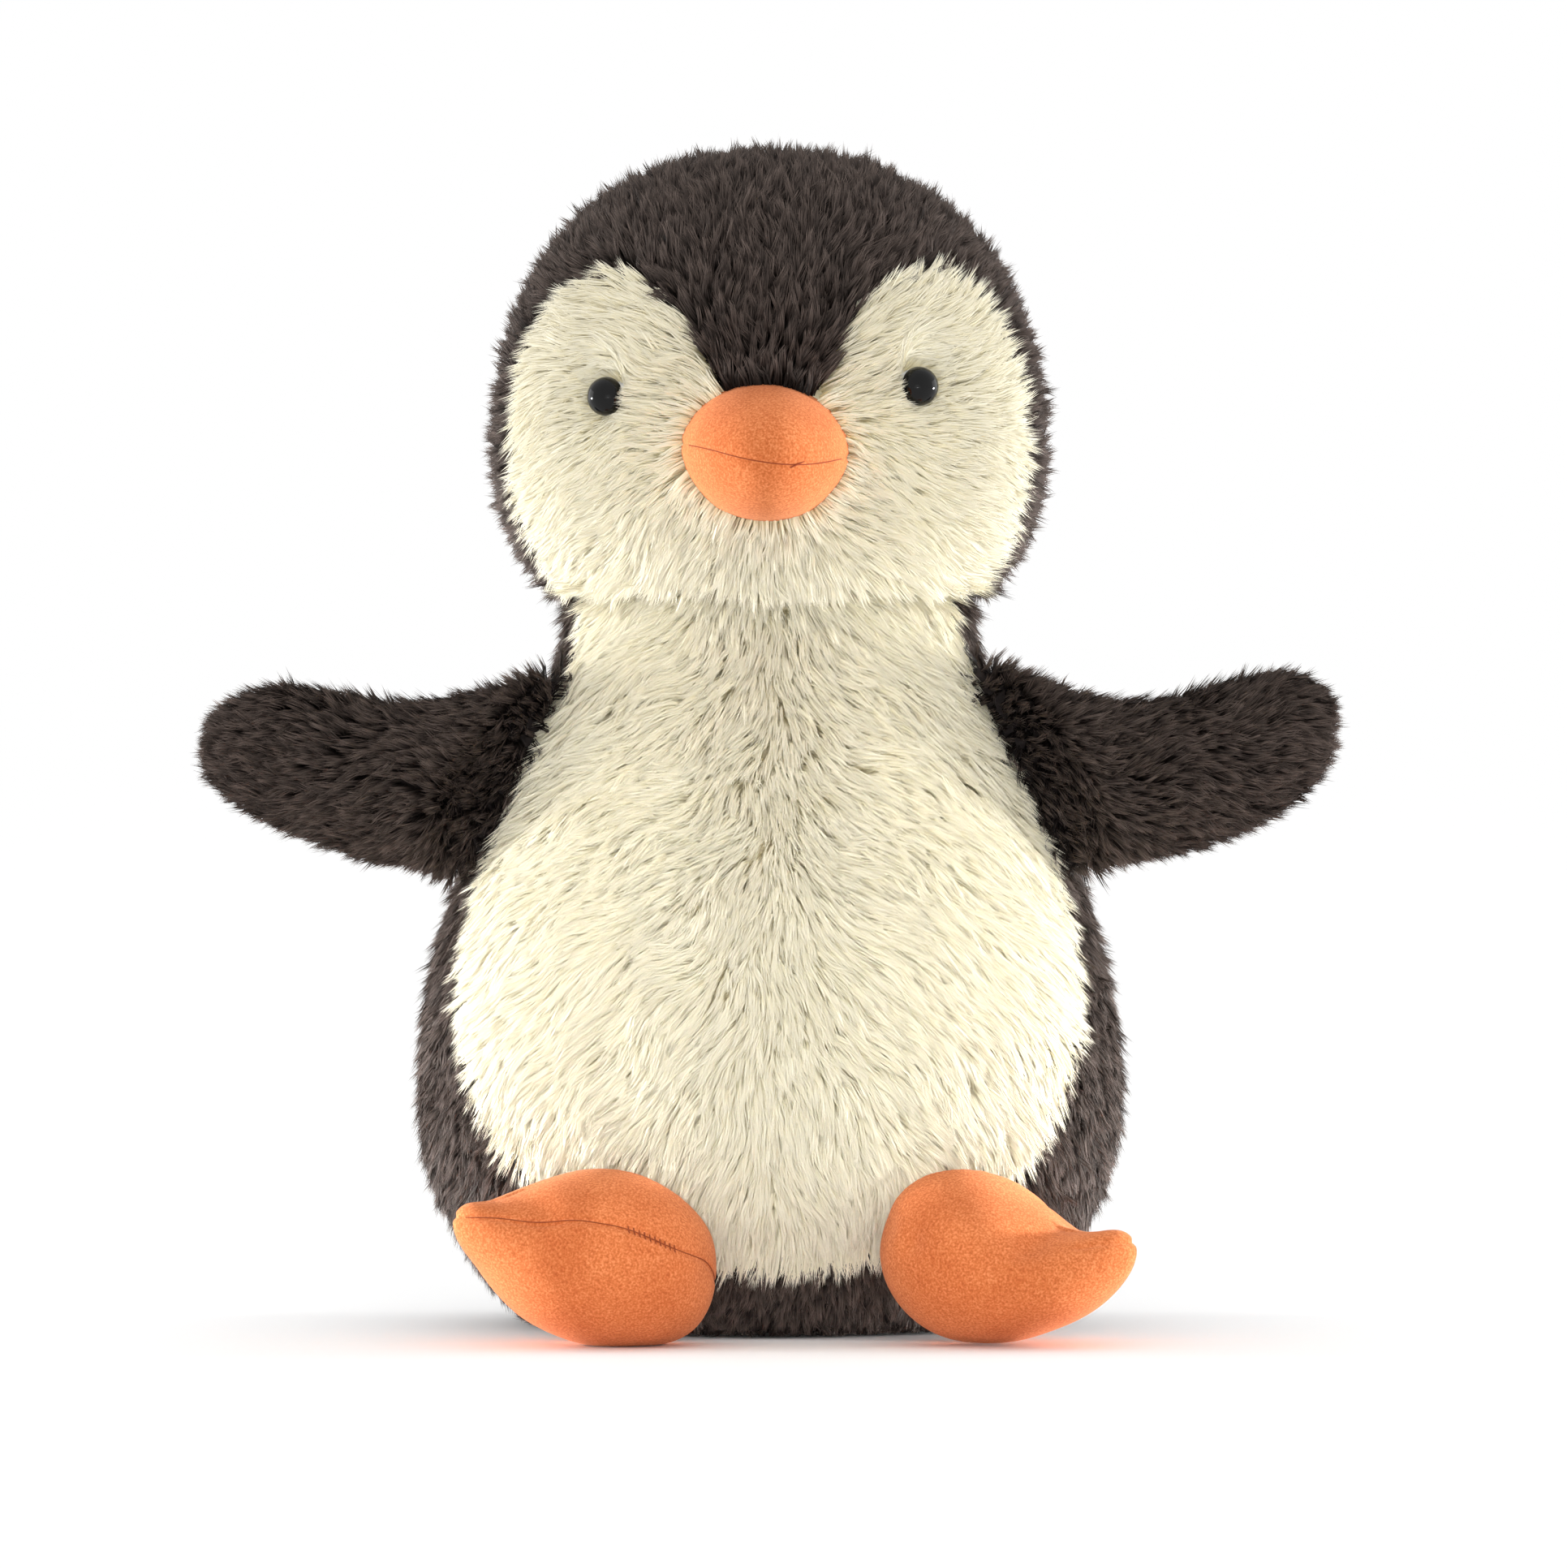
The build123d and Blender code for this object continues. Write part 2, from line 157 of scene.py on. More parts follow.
# --- Feet, lengths in millimetres and angles in degrees. The centre, heading and rise are those of the CAD
# model, and the length is a share of its length. Each list runs along the foot towards its tip: the height of
# its middle line, its fullness as a share of the CAD model's, and its seam. A dent is (along, up, radius,
# depth). ---
FOOT_FORMS = {
    "left": {
        "centre": (-28.5, -58.0, 16.9), "heading": 20.0, "rise": 11.0, "length": 0.99,
        "middle": [(-19, -2.6), (-12, -1.4), (-5, -0.6), (2, -0.5), (9, -0.9), (17, -1.5), (23, -1.2),
                   (29, -0.2), (34, 1.5)],
        "fullness": [(-19, 1.12), (-12, 1.0), (-5, 1.0), (2, 1.04), (9, 1.05), (17, 1.04), (23, 0.98),
                     (29, 0.86), (34, 1.25)],
        "seam": [(-21, -4), (-17.6, -1.7), (-13.8, 1.9), (-4, 3.2), (6, 5.5), (15, 5.4), (20.5, 3.4),
                 (28.8, 2.9), (34.4, 1.5)],
        "dents": [(20.5, 5.8, 3.5, 0.7), (-13.0, 0.0, 4.0, 0.6), (24.0, 2.0, 5.0, 0.5)],
    },
    "right": {
        "centre": (39.9, -55.0, 16.9), "heading": 28.0, "rise": 3.0, "length": 0.965,
        "middle": [(-19, 0.5), (-15, 1.5), (-8, 1.2), (0, 0.1), (8, -1.9), (12, -3.0), (16.5, -4.1),
                   (20, -4.3), (24, -3.7), (29, -1.7), (32, -0.3), (34.4, 0.3)],
        "fullness": [(-19, 1.0), (-15, 1.07), (-8, 1.07), (0, 1.01), (8, 0.93), (12, 0.86), (16.5, 0.78),
                     (20, 0.76), (24, 0.78), (29, 0.93), (32, 1.15), (34.4, 1.35)],
        "seam": [(-21, 4), (-15, 8), (-8, 10.5), (0, 11), (8, 9.5), (16.5, 5.5), (24, 1.0), (29, 2.0),
                 (34.4, 1.5)],
        "dents": [(17.0, 2.5, 3.2, 1.5), (-4.6, 3.8, 3.0, 1.2), (-12.0, 6.5, 3.5, 0.8),
                  (6.0, 4.5, 5.0, -0.5)],
    },
}
LEFT_FOOT_THREAD = (-17.5, 33)  # the stretch of the left foot's seam where its thread shows
LEFT_FOOT_STITCHES = (-4.0, 6.5)  # the stretch that was closed by hand
LEFT_FOOT_STITCH_LEAN = 0.3
RIGHT_SEAM_FROM = 24 * MM  # in front, the right foot's seam shows only from here to its tip

# --- Camera and floor ---
VIEW_DISTANCE = 4.0
VIEW_ELEVATION = math.radians(2.5)
VIEW_WIDTH = 0.3012  # the width that the frame takes in at the toy
VIEW_CENTRE_X = 2.7 * MM
VIEW_CENTRE_Z = 103.9 * MM
SENSOR = 36.0
FLOOR_HALF_SIZE = 3.0

# --- Lights: name, place, the height they aim at, size, watts, shape, and a narrow one's spread in degrees ---
FRONT_LIGHTS = [
    ("front", (0.0, -1.5, 0.05), 0.07, 0.9, 1.2, "DISK", None),
    ("belly", (0.0, -1.5, 0.02), 0.055, 0.1, 0.023, "SQUARE", 8),
]
SIDE_LIGHTS = [
    ("side", (1.0, 0.35, 0.15), 0.11, 0.8, 3, "SQUARE", None),
    ("hip", (1.0, 0.15, 0.03), 0.05, 0.15, 0.5, "SQUARE", 16),
]

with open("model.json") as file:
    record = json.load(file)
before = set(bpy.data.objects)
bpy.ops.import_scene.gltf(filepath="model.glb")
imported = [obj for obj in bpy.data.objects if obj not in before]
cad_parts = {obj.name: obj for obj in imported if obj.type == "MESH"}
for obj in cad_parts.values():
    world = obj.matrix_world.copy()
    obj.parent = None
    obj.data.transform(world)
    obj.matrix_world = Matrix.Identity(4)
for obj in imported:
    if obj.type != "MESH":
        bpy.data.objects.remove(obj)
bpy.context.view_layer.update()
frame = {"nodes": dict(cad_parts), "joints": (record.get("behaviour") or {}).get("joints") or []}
nodes = frame["nodes"]
joints = {joint["name"]: joint for joint in frame["joints"]}
neck_pivot = np.array(joints["head_nod"]["pos_m"])
axis_y = neck_pivot[1]  # the torso's own axis


# === Mesh helpers ==========================================================================================
def coordinates(mesh):
    """A mesh's vertices as an array."""
    values = np.empty(len(mesh.vertices) * 3, np.float32)
    mesh.vertices.foreach_get("co", values)
    return values.reshape(-1, 3).astype(float)


def triangles(mesh):
    """A mesh's triangles, as vertex numbers."""
    mesh.calc_loop_triangles()
    values = np.empty(len(mesh.loop_triangles) * 3, np.int32)
    mesh.loop_triangles.foreach_get("vertices", values)
    return values.reshape(-1, 3)


def vertex_normals(mesh):
    """A mesh's smooth normals as an array."""
    values = np.empty(len(mesh.vertices) * 3, np.float32)
    mesh.vertices.foreach_get("normal", values)
    return values.reshape(-1, 3).astype(float)


def flat(values, kind=np.float32):
    """Values in one row, as foreach_set takes them."""
    return values.astype(kind).ravel()


def set_coordinates(mesh, points):
    """Moves a mesh's vertices."""
    mesh.vertices.foreach_set("co", flat(points))
    mesh.update()


def give_materials(mesh, *materials):
    """Replaces a mesh's materials."""
    mesh.materials.clear()
    for material in materials:
        mesh.materials.append(material)


def placed(name, data):
    """An object in the scene for some mesh, curve, light or camera."""
    obj = bpy.data.objects.new(name, data)
    bpy.context.scene.collection.objects.link(obj)
    return obj


def new_object(name, vertices, faces):
    """A smooth mesh object made from vertex and face lists."""
    mesh = bpy.data.meshes.new(name)
    mesh.from_pydata([tuple(v) for v in vertices], [], [tuple(f) for f in faces])
    mesh.validate()
    mesh.shade_smooth()
    return placed(name, mesh)


def apply_modifiers(obj):
    """Bakes an object's modifiers into its mesh."""
    graph = bpy.context.evaluated_depsgraph_get()
    mesh = bpy.data.meshes.new_from_object(obj.evaluated_get(graph))
    old = obj.data
    obj.modifiers.clear()
    obj.data = mesh
    bpy.data.meshes.remove(old)


def joined(objects):
    """The vertices and triangles of some mesh objects together."""
    vertices, faces, offset = [], [], 0
    for obj in objects:
        vertices.append(coordinates(obj.data))
        faces.append(triangles(obj.data) + offset)
        offset += len(obj.data.vertices)
    return np.vstack(vertices), np.vstack(faces)


def remeshed(name, node_names, voxel, smoothing, extra=()):
    """The outer surface of some CAD nodes and extra objects together, as one even, smooth mesh."""
    obj = new_object(name, *joined([*(nodes[node] for node in node_names), *extra]))
    remesh = obj.modifiers.new("remesh", "REMESH")
    remesh.mode = "VOXEL"
    remesh.voxel_size = voxel
    remesh.use_smooth_shade = True
    smooth = obj.modifiers.new("smooth", "SMOOTH")
    smooth.iterations = smoothing
    apply_modifiers(obj)
    return obj


def tree_of(objects):
    """A search tree over some mesh objects."""
    vertices, faces = joined(objects)
    return BVHTree.FromPolygons(vertices.tolist(), faces.tolist())


def distances(tree, points):
    """The distance from each point to the nearest place on a search tree."""
    return np.array([tree.find_nearest(Vector(p))[3] for p in points])


def heights_above(tree, points):
    """The distance from each point to a closed surface, less than zero inside it."""
    heights = []
    for point in points:
        place, normal, _, gap = tree.find_nearest(Vector(point))
        heights.append(math.copysign(gap, (Vector(point) - place).dot(normal)))
    return np.array(heights)


def nearness(tree, points, reach):
    """How near each point is to a search tree: 1 on it, fading to 0 past the reach."""
    return np.exp(-(distances(tree, points) / reach) ** 2)


def unit(vectors):
    """Vectors scaled to length one."""
    return vectors / np.maximum(np.linalg.norm(vectors, axis=-1, keepdims=True), 1e-12)


def box_middle(*names):
    """The middle of the box around some nodes."""
    low = np.min([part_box(name)[0] for name in names], axis=0)
    high = np.max([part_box(name)[1] for name in names], axis=0)
    return (low + high) / 2


# === Materials =============================================================================================
def new_material(name, roughness, specular=None):
    """A Principled material with its plain numbers set on the shader itself."""
    material = bpy.data.materials.new(name)
    material.use_nodes = True
    shader = material.node_tree.nodes["Principled BSDF"]
    shader.inputs["Roughness"].default_value = roughness
    if specular is not None:
        shader.inputs["Specular IOR Level"].default_value = specular
    return material, material.node_tree, shader


def ramp_node(tree, stops):
    """A colour ramp with the given (position, colour) stops."""
    ramp = tree.nodes.new("ShaderNodeValToRGB")
    elements = ramp.color_ramp.elements
    while len(elements) < len(stops):
        elements.new(0.5)
    for element, (position, colour) in zip(elements, stops):
        element.position = position
        element.color = (*colour, 1)
    return ramp


def multiplied(tree, first, second, shader):
    """Two colours multiplied into a shader's base colour."""
    mix = tree.nodes.new("ShaderNodeMix")
    mix.data_type = "RGBA"
    mix.blend_type = "MULTIPLY"
    mix.inputs["Factor"].default_value = 1.0
    tree.links.new(first.outputs["Color"], mix.inputs["A"])
    tree.links.new(second.outputs["Color"], mix.inputs["B"])
    tree.links.new(mix.outputs["Result"], shader.inputs["Base Color"])


def noise_node(tree, scale, detail=2):
    """Noise that stays with the object it is on."""
    place = tree.nodes.new("ShaderNodeTexCoord")
    noise = tree.nodes.new("ShaderNodeTexNoise")
    noise.inputs["Scale"].default_value = scale
    noise.inputs["Detail"].default_value = detail
    tree.links.new(place.outputs["Object"], noise.inputs["Vector"])
    return noise


def raise_relief(tree, noise, shader, strength, height):
    """Turns noise into a fine relief."""
    bump = tree.nodes.new("ShaderNodeBump")
    bump.inputs["Strength"].default_value = strength
    bump.inputs["Distance"].default_value = height
    tree.links.new(noise.outputs["Fac"], bump.inputs["Height"])
    tree.links.new(bump.outputs["Normal"], shader.inputs["Normal"])


STRAND_MAP = "OFBake"  # the strands' map: u picks a strand's tone, v runs from its root to its tip


def fur_material(name, root, middle, tip, darker, lighter, roughness, specular):
    """Pile coloured from root to tip, darker towards the roots as painted shade between the strands, with each
    strand a little darker or lighter than its neighbours.
    """
    material, tree, shader = new_material(name, roughness, specular)
    uv = tree.nodes.new("ShaderNodeUVMap")
    uv.uv_map = STRAND_MAP
    split = tree.nodes.new("ShaderNodeSeparateXYZ")
    # The ramp along each strand paints shade at its root.
    along = ramp_node(tree, [(0.0, root), (0.45, middle), (1.0, tip)])
    tone = ramp_node(tree, [(0.0, darker), (1.0, lighter)])
    tree.links.new(uv.outputs["UV"], split.inputs["Vector"])
    tree.links.new(split.outputs["Y"], along.inputs["Fac"])
    tree.links.new(split.outputs["X"], tone.inputs["Fac"])
    multiplied(tree, along, tone, shader)
    return material


# The dark pile's near-black roots are painted shade in the gaps between strands, and its lighter tips are
# painted highlights.
dark_fur = fur_material("dark_fur", root=(0.006, 0.004, 0.0034), middle=(0.021, 0.0152, 0.0125),
                        tip=(0.128, 0.099, 0.086), darker=(0.38, 0.37, 0.36), lighter=(1.8, 1.77, 1.75),
                        roughness=0.6, specular=0.15)
# The cream pile's yellower, slightly darker roots are painted warm shade between the strands.
cream_fur = fur_material("cream_fur", root=(0.98, 0.88, 0.58), middle=(0.98, 0.925, 0.73),
                         tip=(0.96, 0.92, 0.79), darker=(0.96, 0.95, 0.91), lighter=(1.0, 1.0, 1.0),
                         roughness=0.8, specular=0.05)


def speckled(material, tree, shader, colour, scale, spread, relief):
    """Gives a material slight differences in its colour, and a fine relief."""
    noise = noise_node(tree, scale)
    shades = [tuple(min(channel * (1 + sign * spread), 1.0) for channel in colour) for sign in (-1, 1)]
    ramp = ramp_node(tree, [(0.35, shades[0]), (0.65, shades[1])])
    tree.links.new(noise.outputs["Fac"], ramp.inputs["Fac"])
    tree.links.new(ramp.outputs["Color"], shader.inputs["Base Color"])
    raise_relief(tree, noise, shader, strength=0.3, height=relief)
    return material


def plain_cloth(name, colour):
    """Woven cloth or thread, a little uneven in its colour."""
    return speckled(*new_material(name, 0.95), colour, scale=1800, spread=0.08, relief=0.1 * MM)


dark_backing = plain_cloth("dark_backing", (0.02, 0.014, 0.013))
cream_backing = plain_cloth("cream_backing", (0.94, 0.85, 0.60))


# === Beak and feet =========================================================================================
def suede():
    """Short-nap orange suede: fine flecks and soft brushed patches."""
    material, tree, shader = new_material("orange_suede", 0.9, 0.15)
    shader.inputs["Sheen Weight"].default_value = 0.2
    shader.inputs["Sheen Roughness"].default_value = 0.6
    shader.inputs["Sheen Tint"].default_value = (1.0, 0.62, 0.4, 1)
    fleck = noise_node(tree, 2300, detail=3)
    patch = noise_node(tree, 75, detail=1)
    shades = [(0.30, (0.51, 0.108, 0.026)), (0.5, (0.66, 0.174, 0.050)), (0.72, (0.80, 0.28, 0.103))]
    flecks = ramp_node(tree, shades)
    patches = ramp_node(tree, [(0.35, (0.92, 0.88, 0.84)), (0.65, (1.06, 1.12, 1.18))])
    tree.links.new(fleck.outputs["Fac"], flecks.inputs["Fac"])
    tree.links.new(patch.outputs["Fac"], patches.inputs["Fac"])
    multiplied(tree, flecks, patches, shader)
    raise_relief(tree, fleck, shader, strength=0.35, height=0.12 * MM)
    return material


suede_material = suede()
thread_material = plain_cloth("orange_thread", (0.30, 0.055, 0.014))


def curve_through(table, places):
    """A table's second column at some places along its first, rounded off at its corners."""
    table = np.array(table) * MM
    order = np.argsort(table[:, 0])
    steps = np.linspace(-CORNER_ROUNDING, CORNER_ROUNDING, ROUNDING_STEPS) * MM
    return np.mean([np.interp(places + step, table[order, 0], table[order, 1]) for step in steps], axis=0)


def groove(obj, gap, strength):
    """Presses a sewn groove into a mesh, where the distance to the seam is small."""
    depth = GROOVE_DEPTH * strength * np.exp(-(gap / GROOVE_WIDTH) ** 2)
    set_coordinates(obj.data, coordinates(obj.data) - depth[:, None] * vertex_normals(obj.data))


def sew(obj, centre, axes, runs, radius):
    """Lays threads on the front of a piece. Each run is a list of (along, up, lift above the surface)."""
    tree = tree_of([obj])
    data = bpy.data.curves.new("thread", "CURVE")
    data.dimensions = "3D"
    data.bevel_depth = radius
    data.bevel_resolution = 1
    data.use_fill_caps = True
    for run in runs:
        found = []
        for along, up, lift in run:
            start = centre + axes @ np.array([along, THREAD_CAST, up])
            hit, normal, _, _ = tree.ray_cast(Vector(start), Vector(-axes[:, 1]))
            if hit is not None:
                found.append((*(hit + lift * normal), 1))
        spline = data.splines.new("POLY")
        spline.points.add(len(found) - 1)
        for point, place in zip(spline.points, found):
            point.co = place
    curve = placed("thread", data)
    bpy.context.view_layer.update()
    graph = bpy.context.evaluated_depsgraph_get()
    mesh = bpy.data.meshes.new_from_object(curve.evaluated_get(graph))
    bpy.data.objects.remove(curve)
    give_materials(mesh, thread_material)
    threads = placed("thread", mesh)
    with bpy.context.temp_override(active_object=obj, object=obj, selected_editable_objects=[obj, threads]):
        bpy.ops.object.join()


def seam_run(line, first, last):
    """The thread that shows along a seam, sunk in its groove."""
    places = np.arange(first, last, SEAM_STEP) * MM
    return [(place, up, SEAM_LIFT) for place, up in zip(places, curve_through(line, places))]


def stitch_runs(line, first, last, lean):
    """Short threads across a seam."""
    places = np.arange(first, last, STITCH_PITCH) * MM
    runs = []
    for place, up in zip(places, curve_through(line, places)):
        runs.append([(place + step * lean * STITCH_LENGTH, up + step * STITCH_LENGTH, lift * MM)
                     for step, lift in STITCH_SHAPE])
    return runs


def suede_form(name, node_names):
    """The smooth outer form of a stuffed suede piece."""
    obj = remeshed(name, node_names, SUEDE_VOXEL, SUEDE_SMOOTHING)
    give_materials(obj.data, suede_material)
    return obj


def finish_suede(obj, body, node_names):
    """Attaches a stuffed suede piece to its body and hides the CAD parts that it stands for."""
    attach(obj, body)
    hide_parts(*node_names)


def local(points, centre, axes):
    """Points measured along a piece's own axes: along, towards the front, and up."""
    return (points - centre) @ axes


def make_beak():
    """The stuffed beak, with one seam across it and pinched at both corners, and a search tree over it."""
    centre = np.array(BEAK_CENTRE) * MM + np.array([0, axis_y, 0])
    along = np.array([math.cos(BEAK_ROLL), 0, -math.sin(BEAK_ROLL)])
    front = np.array([0.0, -1.0, 0.0])
    axes = np.stack([along, front, np.cross(front, along)], axis=1)
    names = ["beak_upper", "beak_lower", "beak_fill"]
    obj = suede_form("beak", names)
    points = local(coordinates(obj.data), centre, axes)
    corner = np.clip((np.abs(points[:, 0]) - BEAK_CORNER) / BEAK_CORNER, 0, 1)
    points[:, 2] = points[:, 2] * (1 - CORNER_PINCH * corner ** 2) + CORNER_RISE * corner
    set_coordinates(obj.data, centre + points @ axes.T)
    gap = points[:, 2] - curve_through(BEAK_SEAM, points[:, 0])
    groove(obj, gap, BEAK_GROOVE)
    tree = tree_of([obj])
    stitches = stitch_runs(BEAK_SEAM, *BEAK_STITCHES, BEAK_STITCH_LEAN)
    sew(obj, centre, axes, [seam_run(BEAK_SEAM, *BEAK_THREAD)], SEAM_RADIUS)
    sew(obj, centre, axes, stitches, STITCH_RADIUS)
    finish_suede(obj, "head", names)
    return obj, tree


def foot_axes(side, heading, rise):
    """A foot's own directions, as columns: towards its tip, towards the front, and up."""
    heading, rise = math.radians(heading), math.radians(rise)
    sign = -1 if side == "left" else 1
    level = math.cos(rise)
    tip = np.array([sign * level * math.cos(heading), -level * math.sin(heading), math.sin(rise)])
    up = unit(np.array([0, 0, 1.0]) - tip * tip[2])
    front = np.cross(up, tip) * -sign
    return np.stack([tip, front, up], axis=1)


def press_dents(obj, points, dents):
    """Presses dents into the front of a foot, and keeps the foot above the floor."""
    press = np.zeros(len(points))
    for along, up, radius, depth in dents:
        away = ((points[:, 0] / MM - along) ** 2 + (points[:, 2] / MM - up) ** 2) / radius ** 2
        press += depth * MM * np.exp(-away) * (points[:, 1] > 0)
    moved = coordinates(obj.data) - press[:, None] * vertex_normals(obj.data)
    moved[:, 2] = np.maximum(moved[:, 2], FLOOR_GAP)
    set_coordinates(obj.data, moved)


def make_foot(side):
    """A stuffed foot: a round heel, a pointed tip, dents where the stuffing is pulled in, and a seam."""
    form = FOOT_FORMS[side]
    centre = np.array(form["centre"]) * MM + np.array([0, axis_y, 0])
    axes = foot_axes(side, form["heading"], form["rise"])
    names = [f"foot_{side}_upper", f"foot_{side}_sole", f"foot_{side}_fill"]
    obj = suede_form(f"foot_{side}_suede", names)
    points = local(coordinates(obj.data), centre, axes)
    middle = curve_through(form["middle"], points[:, 0])
    fullness = curve_through(form["fullness"], points[:, 0]) / MM
    points[:, 2] = middle + fullness * points[:, 2]
    points[:, 0] *= form["length"]
    set_coordinates(obj.data, centre + points @ axes.T)
    press_dents(obj, points, form["dents"])
    gap = points[:, 2] - curve_through(form["seam"], points[:, 0])
    if side == "left":
        groove(obj, gap, 1.0)
        stitches = stitch_runs(form["seam"], *LEFT_FOOT_STITCHES, LEFT_FOOT_STITCH_LEAN)
        sew(obj, centre, axes, [seam_run(form["seam"], *LEFT_FOOT_THREAD)], SEAM_RADIUS)
        sew(obj, centre, axes, stitches, STITCH_RADIUS)
    else:
        shows = (points[:, 1] < 0) | (points[:, 0] > RIGHT_SEAM_FROM)
        groove(obj, gap, shows.astype(float))
    finish_suede(obj, f"foot_{side}", names)


beak, beak_tree = make_beak()
for side in SIDES:
    make_foot(side)


# === Fur ===================================================================================================
beak_middle = box_middle("beak_upper", "beak_lower")


def face_flow(points):
    """Pile combed away from the beak, drooping more on the left cheek than on the right."""
    away = points - beak_middle
    away[:, 1] = 0
    flow = unit(away)
    flow[:, 2] -= CHEEK_DROOP - CHEEK_DROOP_SLOPE * points[:, 0]
    return unit(flow)


def hood_flow(points):
    """Pile combed up from the beak, back over the crown and down the back of the head."""
    away = points - beak_middle
    away[:, 0] *= HOOD_SPREAD
    backward = np.clip((points[:, 1] - axis_y) / HOOD_TURN_DEPTH, 0, 1)
    flow = unit(away)
    flow[:, 2] -= HOOD_TURN * backward
    return unit(flow)


def belly_flow(points):
    """Pile that parts at the middle seam: steep at the neck, flatter at mid height, down at the seat."""
    low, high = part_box("belly_right")
    height = (points[:, 2] - low.z) / (high.z - low.z)
    droop = np.radians(np.interp(height, *zip(*BELLY_DROOP)))
    side = np.tanh(points[:, 0] / (PARTING_WIDTH + PARTING_STRAY * wander(points) / WANDER))
    return np.stack([side * np.cos(droop), np.zeros(len(points)), -np.sin(droop)], axis=1)


def back_flow(points):
    """Pile that hangs down."""
    side = np.clip(points[:, 0] / BACK_SPREAD_WIDTH, -1, 1)
    return unit(np.stack([BACK_SPREAD * side, np.zeros(len(points)), -np.ones(len(points))], axis=1))


def base_flow(points):
    """Pile that hangs down at the edge of the seat and lies outward under it."""
    flow = BASE_SPREAD * unit(points - np.array([0, axis_y, 0]))
    flow[:, 2] = -1
    return unit(flow)


def flipper_flow(side):
    """Pile that fans out from the root of a flipper to its tip."""
    pivot = np.array(joints[f"flipper_{side}_swing"]["pos_m"])
    inward = FLIPPER_FAN if side == "left" else -FLIPPER_FAN

    def flow(points):
        return unit(points - pivot - np.array([inward, 0, 0]))

    return flow


def spread_points(mesh, spacing, rng):
    """Points spread evenly at random over a mesh, with their normals: one in each cell of a grid."""
    vertices, faces, normals = coordinates(mesh), triangles(mesh), vertex_normals(mesh)
    a, b, c = (vertices[faces[:, i]] for i in range(3))
    areas = np.linalg.norm(np.cross(b - a, c - a), axis=1) / 2
    count = int(POINTS_PER_CELL * areas.sum() / spacing ** 2)
    chosen = rng.choice(len(faces), count, p=areas / areas.sum())
    u, v = rng.random(count), rng.random(count)
    over = u + v > 1
    u[over], v[over] = 1 - u[over], 1 - v[over]
    weights = np.stack([1 - u - v, u, v], axis=1)[:, :, None]
    points = (vertices[faces[chosen]] * weights).sum(axis=1)
    facing = unit((normals[faces[chosen]] * weights).sum(axis=1))
    cells = np.floor(points / spacing).astype(np.int64)
    _, first = np.unique(cells, axis=0, return_index=True)
    return points[first], facing[first]


def nearest_panel(points, panels):
    """For each point, which of the named panels it lies on."""
    gaps = np.stack([distances(tree_of([nodes[panel]]), points) for panel in panels])
    return gaps.argmin(axis=0)


def wander(points):
    """A slow stray in the pile's direction, in radians."""
    waves = np.array(WANDER_WAVES) / MM
    return WANDER * np.sin(points @ waves.T + np.array(WANDER_PHASES)).sum(axis=1)


def along_skin(flows, normals):
    """The part of each flow that runs along the skin."""
    return unit(flows - normals * (flows * normals).sum(axis=1, keepdims=True))


def strand_points(roots, normals, tangents, stand, unruly, gather, lengths, rng):
    """Root, middle and tip of every strand. The strands of a clump lean together towards one tip.

    stand turns the lifts: 1 is upright, 0 leaves them as they are, and -1 lies along the skin.
    """
    count = len(roots)
    sideways = np.cross(normals, tangents)
    turn = (wander(roots) + unruly * rng.normal(0, SCATTER["turn"], count))[:, None]
    heading = tangents * np.cos(turn) + sideways * np.sin(turn)
    lifts = []
    for lift, name in ((ROOT_LIFT, "root"), (TIP_LIFT, "tip")):
        raised = lift + stand * np.where(stand > 0, math.pi / 2 - lift, lift)
        lifts.append((raised + unruly * rng.normal(0, SCATTER[name], count))[:, None])
    half = (lengths / 2 * rng.uniform(*CLUMP_LENGTHS, count))[:, None]
    middles = roots + half * (heading * np.cos(lifts[0]) + normals * np.sin(lifts[0]))
    tips = middles + half * (heading * np.cos(lifts[1]) + normals * np.sin(lifts[1]))

    strands = STRANDS_PER_CLUMP
    angle = rng.uniform(0, 2 * math.pi, (count, strands, 1))
    reach = CLUMP_RADIUS * np.sqrt(rng.random((count, strands, 1)))
    offset = reach * (np.cos(angle) * tangents[:, None] + np.sin(angle) * sideways[:, None])
    stray = rng.normal(0, STRAND_STRAY, (count, strands, 3))
    root = roots[:, None] + offset
    gather = gather[:, None, None]
    middle = middles[:, None] + (1 + gather) / 2 * offset + stray
    outer_half = tips[:, None] + gather * offset + STRAY_AT_TIP * stray - middle
    tip = middle + outer_half * rng.uniform(*STRAND_TIPS, (count, strands, 1))
    return root.reshape(-1, 3), middle.reshape(-1, 3), tip.reshape(-1, 3)


# A strand's blade is a four-sided face and a triangle on five points: two at its root, two at its bend, a tip.
BLADE_POINTS = 5
BLADE_CORNERS = np.array([0, 1, 2, 3, 3, 2, 4])
BLADE_LEVELS = np.array([0, 0, 0.5, 0.5, 0.5, 0.5, 1.0])  # how far along the strand each corner is
BLADE_FACE_STARTS = np.array([0, 4])


